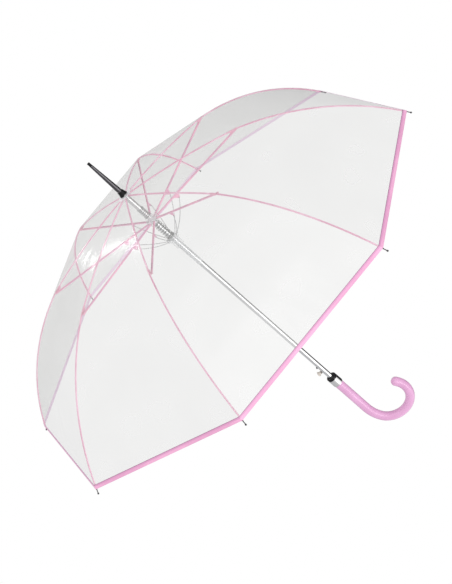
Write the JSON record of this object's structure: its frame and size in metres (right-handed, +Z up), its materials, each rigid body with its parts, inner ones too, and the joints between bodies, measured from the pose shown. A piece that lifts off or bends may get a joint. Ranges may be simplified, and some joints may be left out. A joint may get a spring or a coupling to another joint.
{
  "type": "stick umbrella",
  "caption": "Automatic stick umbrella, shown open: clear film canopy on pink folding ribs, spring runner on a steel shaft, push-button latch and pink crook handle.",
  "frame": {"origin": "on the shaft's axis, in the middle of the straight part of the grip", "axes": "+Z up the shaft towards the ferrule, +X the way the crook hooks, along the first rib"},
  "size_m": [1.0344, 1.0344, 0.9168],
  "materials": {
    "shaft_steel": "bright plated steel tube",
    "dark_chrome": "gunmetal plate, glossy",
    "dark_cap": "satin black",
    "black_plastic": "gloss",
    "clear_plastic": "translucent, slightly bluish",
    "wire_steel": "drawn wire",
    "spring_steel": "dark spring steel",
    "pink_gloss": "gloss lilac pink",
    "band_chrome": "polished",
    "beige_plastic": "semi gloss beige",
    "pink_paint": "pink powder coat, darker at the joint clips and rib tips",
    "clear_film": "clear film with a faint frost, pink binding at the hem"
  },
  "bodies": {
    "stick": {"shaft": "shaft_steel", "ferrule": "dark_chrome", "ferrule_cap": "dark_cap", "rosette": "black_plastic", "crown_washer": "clear_plastic", "crown_notch": "clear_plastic", "crown_wire": "wire_steel", "latch_pin": "wire_steel", "handle_bush": "black_plastic", "handle_band": "band_chrome", "handle": "pink_gloss"},
    "hub": {"runner_hub": "clear_plastic", "hub_pins": "wire_steel", "main_spring": "spring_steel", "buffer_spring": "spring_steel"},
    "collar": {"lower_collar": "clear_plastic", "collar_wire": "wire_steel"},
    "rib_1": {"rib_inner_1": "pink_paint"},
    "rib_end_1": {"rib_outer_1": "pink_paint", "canopy_panel_1": "clear_film"},
    "stretcher_1": {"stretcher_1": "pink_paint"},
    "wire_1": {"assist_wire_1": "wire_steel"},
    "rib_2": {"rib_inner_2": "pink_paint"},
    "rib_end_2": {"rib_outer_2": "pink_paint", "canopy_panel_2": "clear_film"},
    "stretcher_2": {"stretcher_2": "pink_paint"},
    "wire_2": {"assist_wire_2": "wire_steel"},
    "rib_3": {"rib_inner_3": "pink_paint"},
    "rib_end_3": {"rib_outer_3": "pink_paint", "canopy_panel_3": "clear_film"},
    "stretcher_3": {"stretcher_3": "pink_paint"},
    "wire_3": {"assist_wire_3": "wire_steel"},
    "rib_4": {"rib_inner_4": "pink_paint"},
    "rib_end_4": {"rib_outer_4": "pink_paint", "canopy_panel_4": "clear_film"},
    "stretcher_4": {"stretcher_4": "pink_paint"},
    "wire_4": {"assist_wire_4": "wire_steel"},
    "rib_5": {"rib_inner_5": "pink_paint"},
    "rib_end_5": {"rib_outer_5": "pink_paint", "canopy_panel_5": "clear_film"},
    "stretcher_5": {"stretcher_5": "pink_paint"},
    "wire_5": {"assist_wire_5": "wire_steel"},
    "rib_6": {"rib_inner_6": "pink_paint"},
    "rib_end_6": {"rib_outer_6": "pink_paint", "canopy_panel_6": "clear_film"},
    "stretcher_6": {"stretcher_6": "pink_paint"},
    "wire_6": {"assist_wire_6": "wire_steel"},
    "rib_7": {"rib_inner_7": "pink_paint"},
    "rib_end_7": {"rib_outer_7": "pink_paint", "canopy_panel_7": "clear_film"},
    "stretcher_7": {"stretcher_7": "pink_paint"},
    "wire_7": {"assist_wire_7": "wire_steel"},
    "rib_8": {"rib_inner_8": "pink_paint"},
    "rib_end_8": {"rib_outer_8": "pink_paint", "canopy_panel_8": "clear_film"},
    "stretcher_8": {"stretcher_8": "pink_paint"},
    "wire_8": {"assist_wire_8": "wire_steel"},
    "button": {"release_button": "beige_plastic", "button_spring": "spring_steel"},
    "latch": {"latch_blade": "spring_steel"}
  },
  "joints": [
    {"name": "runner_slide", "type": "slide", "parent": "stick", "child": "hub", "axis": [0, 0, -1], "range_m": [0, 0.413], "stiffness_N_per_m": 60, "springref_m": -0.3},
    {"name": "collar_slide", "type": "slide", "parent": "hub", "child": "collar", "axis": [0, 0, 1], "range_m": [0, 0.0364], "deforming": ["main_spring"]},
    {"name": "rib_1_fold", "type": "hinge", "parent": "stick", "child": "rib_1", "pos_m": [0.009, 0, 0.6938], "axis": [0, 1, 0], "range_deg": [0, 75.65]},
    {"name": "rib_1_flex", "type": "hinge", "parent": "rib_1", "child": "rib_end_1", "pos_m": [0.252, 0, 0.643], "axis": [0, 1, 0], "range_deg": [-25.8, 0], "deforming": ["canopy_panel_1"]},
    {"name": "stretcher_1_fold", "type": "hinge", "parent": "hub", "child": "stretcher_1", "pos_m": [0.0115, 0, 0.618], "axis": [0, 1, 0], "range_deg": [-82.76, 0]},
    {"name": "wire_1_fold", "type": "hinge", "parent": "stretcher_1", "child": "wire_1", "pos_m": [0.07199, 0, 0.61589], "axis": [0, 1, 0], "range_deg": [0, 41.04]},
    {"name": "rib_2_fold", "type": "hinge", "parent": "stick", "child": "rib_2", "pos_m": [0.00636, 0.00636, 0.6938], "axis": [-0.7071, 0.7071, 0], "range_deg": [0, 75.65]},
    {"name": "rib_2_flex", "type": "hinge", "parent": "rib_2", "child": "rib_end_2", "pos_m": [0.17819, 0.17819, 0.643], "axis": [-0.7071, 0.7071, 0], "range_deg": [-25.8, 0], "deforming": ["canopy_panel_2"]},
    {"name": "stretcher_2_fold", "type": "hinge", "parent": "hub", "child": "stretcher_2", "pos_m": [0.00813, 0.00813, 0.618], "axis": [-0.7071, 0.7071, 0], "range_deg": [-82.76, 0]},
    {"name": "wire_2_fold", "type": "hinge", "parent": "stretcher_2", "child": "wire_2", "pos_m": [0.05091, 0.05091, 0.61589], "axis": [-0.7071, 0.7071, 0], "range_deg": [0, 41.04]},
    {"name": "rib_3_fold", "type": "hinge", "parent": "stick", "child": "rib_3", "pos_m": [0, 0.009, 0.6938], "axis": [-1, 0, 0], "range_deg": [0, 75.65]},
    {"name": "rib_3_flex", "type": "hinge", "parent": "rib_3", "child": "rib_end_3", "pos_m": [0, 0.252, 0.643], "axis": [-1, 0, 0], "range_deg": [-25.8, 0], "deforming": ["canopy_panel_3"]},
    {"name": "stretcher_3_fold", "type": "hinge", "parent": "hub", "child": "stretcher_3", "pos_m": [0, 0.0115, 0.618], "axis": [-1, 0, 0], "range_deg": [-82.76, 0]},
    {"name": "wire_3_fold", "type": "hinge", "parent": "stretcher_3", "child": "wire_3", "pos_m": [0, 0.07199, 0.61589], "axis": [-1, 0, 0], "range_deg": [0, 41.04]},
    {"name": "rib_4_fold", "type": "hinge", "parent": "stick", "child": "rib_4", "pos_m": [-0.00636, 0.00636, 0.6938], "axis": [-0.7071, -0.7071, 0], "range_deg": [0, 75.65]},
    {"name": "rib_4_flex", "type": "hinge", "parent": "rib_4", "child": "rib_end_4", "pos_m": [-0.17819, 0.17819, 0.643], "axis": [-0.7071, -0.7071, 0], "range_deg": [-25.8, 0], "deforming": ["canopy_panel_4"]},
    {"name": "stretcher_4_fold", "type": "hinge", "parent": "hub", "child": "stretcher_4", "pos_m": [-0.00813, 0.00813, 0.618], "axis": [-0.7071, -0.7071, 0], "range_deg": [-82.76, 0]},
    {"name": "wire_4_fold", "type": "hinge", "parent": "stretcher_4", "child": "wire_4", "pos_m": [-0.05091, 0.05091, 0.61589], "axis": [-0.7071, -0.7071, 0], "range_deg": [0, 41.04]},
    {"name": "rib_5_fold", "type": "hinge", "parent": "stick", "child": "rib_5", "pos_m": [-0.009, 0, 0.6938], "axis": [0, -1, 0], "range_deg": [0, 75.65]},
    {"name": "rib_5_flex", "type": "hinge", "parent": "rib_5", "child": "rib_end_5", "pos_m": [-0.252, 0, 0.643], "axis": [0, -1, 0], "range_deg": [-25.8, 0], "deforming": ["canopy_panel_5"]},
    {"name": "stretcher_5_fold", "type": "hinge", "parent": "hub", "child": "stretcher_5", "pos_m": [-0.0115, 0, 0.618], "axis": [0, -1, 0], "range_deg": [-82.76, 0]},
    {"name": "wire_5_fold", "type": "hinge", "parent": "stretcher_5", "child": "wire_5", "pos_m": [-0.07199, 0, 0.61589], "axis": [0, -1, 0], "range_deg": [0, 41.04]},
    {"name": "rib_6_fold", "type": "hinge", "parent": "stick", "child": "rib_6", "pos_m": [-0.00636, -0.00636, 0.6938], "axis": [0.7071, -0.7071, 0], "range_deg": [0, 75.65]},
    {"name": "rib_6_flex", "type": "hinge", "parent": "rib_6", "child": "rib_end_6", "pos_m": [-0.17819, -0.17819, 0.643], "axis": [0.7071, -0.7071, 0], "range_deg": [-25.8, 0], "deforming": ["canopy_panel_6"]},
    {"name": "stretcher_6_fold", "type": "hinge", "parent": "hub", "child": "stretcher_6", "pos_m": [-0.00813, -0.00813, 0.618], "axis": [0.7071, -0.7071, 0], "range_deg": [-82.76, 0]},
    {"name": "wire_6_fold", "type": "hinge", "parent": "stretcher_6", "child": "wire_6", "pos_m": [-0.05091, -0.05091, 0.61589], "axis": [0.7071, -0.7071, 0], "range_deg": [0, 41.04]},
    {"name": "rib_7_fold", "type": "hinge", "parent": "stick", "child": "rib_7", "pos_m": [0, -0.009, 0.6938], "axis": [1, 0, 0], "range_deg": [0, 75.65]},
    {"name": "rib_7_flex", "type": "hinge", "parent": "rib_7", "child": "rib_end_7", "pos_m": [0, -0.252, 0.643], "axis": [1, 0, 0], "range_deg": [-25.8, 0], "deforming": ["canopy_panel_7"]},
    {"name": "stretcher_7_fold", "type": "hinge", "parent": "hub", "child": "stretcher_7", "pos_m": [0, -0.0115, 0.618], "axis": [1, 0, 0], "range_deg": [-82.76, 0]},
    {"name": "wire_7_fold", "type": "hinge", "parent": "stretcher_7", "child": "wire_7", "pos_m": [0, -0.07199, 0.61589], "axis": [1, 0, 0], "range_deg": [0, 41.04]},
    {"name": "rib_8_fold", "type": "hinge", "parent": "stick", "child": "rib_8", "pos_m": [0.00636, -0.00636, 0.6938], "axis": [0.7071, 0.7071, 0], "range_deg": [0, 75.65]},
    {"name": "rib_8_flex", "type": "hinge", "parent": "rib_8", "child": "rib_end_8", "pos_m": [0.17819, -0.17819, 0.643], "axis": [0.7071, 0.7071, 0], "range_deg": [-25.8, 0], "deforming": ["canopy_panel_8"]},
    {"name": "stretcher_8_fold", "type": "hinge", "parent": "hub", "child": "stretcher_8", "pos_m": [0.00813, -0.00813, 0.618], "axis": [0.7071, 0.7071, 0], "range_deg": [-82.76, 0]},
    {"name": "wire_8_fold", "type": "hinge", "parent": "stretcher_8", "child": "wire_8", "pos_m": [0.05091, -0.05091, 0.61589], "axis": [0.7071, 0.7071, 0], "range_deg": [0, 41.04]},
    {"name": "button_press", "type": "slide", "parent": "stick", "child": "button", "axis": [1, 0, 0], "range_m": [0, 0.0018], "stiffness_N_per_m": 400, "springref_m": -0.0008, "deforming": ["button_spring"]},
    {"name": "latch_bend", "type": "hinge", "parent": "stick", "child": "latch", "pos_m": [-0.003, 0, 0.058], "axis": [0, 1, 0], "range_deg": [0, 2.89]}
  ],
  "couplings": [
    {"joint": "collar_slide", "follows": "runner_slide", "ratio": 0.088125},
    {"joint": "rib_1_fold", "follows": "runner_slide", "rad_per_m": 3.197},
    {"joint": "rib_1_flex", "follows": "runner_slide", "rad_per_m": -1.0903},
    {"joint": "stretcher_1_fold", "follows": "runner_slide", "rad_per_m": -3.4975},
    {"joint": "wire_1_fold", "follows": "runner_slide", "rad_per_m": 1.7342},
    {"joint": "rib_2_fold", "follows": "runner_slide", "rad_per_m": 3.197},
    {"joint": "rib_2_flex", "follows": "runner_slide", "rad_per_m": -1.0903},
    {"joint": "stretcher_2_fold", "follows": "runner_slide", "rad_per_m": -3.4975},
    {"joint": "wire_2_fold", "follows": "runner_slide", "rad_per_m": 1.7342},
    {"joint": "rib_3_fold", "follows": "runner_slide", "rad_per_m": 3.197},
    {"joint": "rib_3_flex", "follows": "runner_slide", "rad_per_m": -1.0903},
    {"joint": "stretcher_3_fold", "follows": "runner_slide", "rad_per_m": -3.4975},
    {"joint": "wire_3_fold", "follows": "runner_slide", "rad_per_m": 1.7342},
    {"joint": "rib_4_fold", "follows": "runner_slide", "rad_per_m": 3.197},
    {"joint": "rib_4_flex", "follows": "runner_slide", "rad_per_m": -1.0903},
    {"joint": "stretcher_4_fold", "follows": "runner_slide", "rad_per_m": -3.4975},
    {"joint": "wire_4_fold", "follows": "runner_slide", "rad_per_m": 1.7342},
    {"joint": "rib_5_fold", "follows": "runner_slide", "rad_per_m": 3.197},
    {"joint": "rib_5_flex", "follows": "runner_slide", "rad_per_m": -1.0903},
    {"joint": "stretcher_5_fold", "follows": "runner_slide", "rad_per_m": -3.4975},
    {"joint": "wire_5_fold", "follows": "runner_slide", "rad_per_m": 1.7342},
    {"joint": "rib_6_fold", "follows": "runner_slide", "rad_per_m": 3.197},
    {"joint": "rib_6_flex", "follows": "runner_slide", "rad_per_m": -1.0903},
    {"joint": "stretcher_6_fold", "follows": "runner_slide", "rad_per_m": -3.4975},
    {"joint": "wire_6_fold", "follows": "runner_slide", "rad_per_m": 1.7342},
    {"joint": "rib_7_fold", "follows": "runner_slide", "rad_per_m": 3.197},
    {"joint": "rib_7_flex", "follows": "runner_slide", "rad_per_m": -1.0903},
    {"joint": "stretcher_7_fold", "follows": "runner_slide", "rad_per_m": -3.4975},
    {"joint": "wire_7_fold", "follows": "runner_slide", "rad_per_m": 1.7342},
    {"joint": "rib_8_fold", "follows": "runner_slide", "rad_per_m": 3.197},
    {"joint": "rib_8_flex", "follows": "runner_slide", "rad_per_m": -1.0903},
    {"joint": "stretcher_8_fold", "follows": "runner_slide", "rad_per_m": -3.4975},
    {"joint": "wire_8_fold", "follows": "runner_slide", "rad_per_m": 1.7342},
    {"joint": "latch_bend", "follows": "button_press", "rad_per_m": 28}
  ]
}
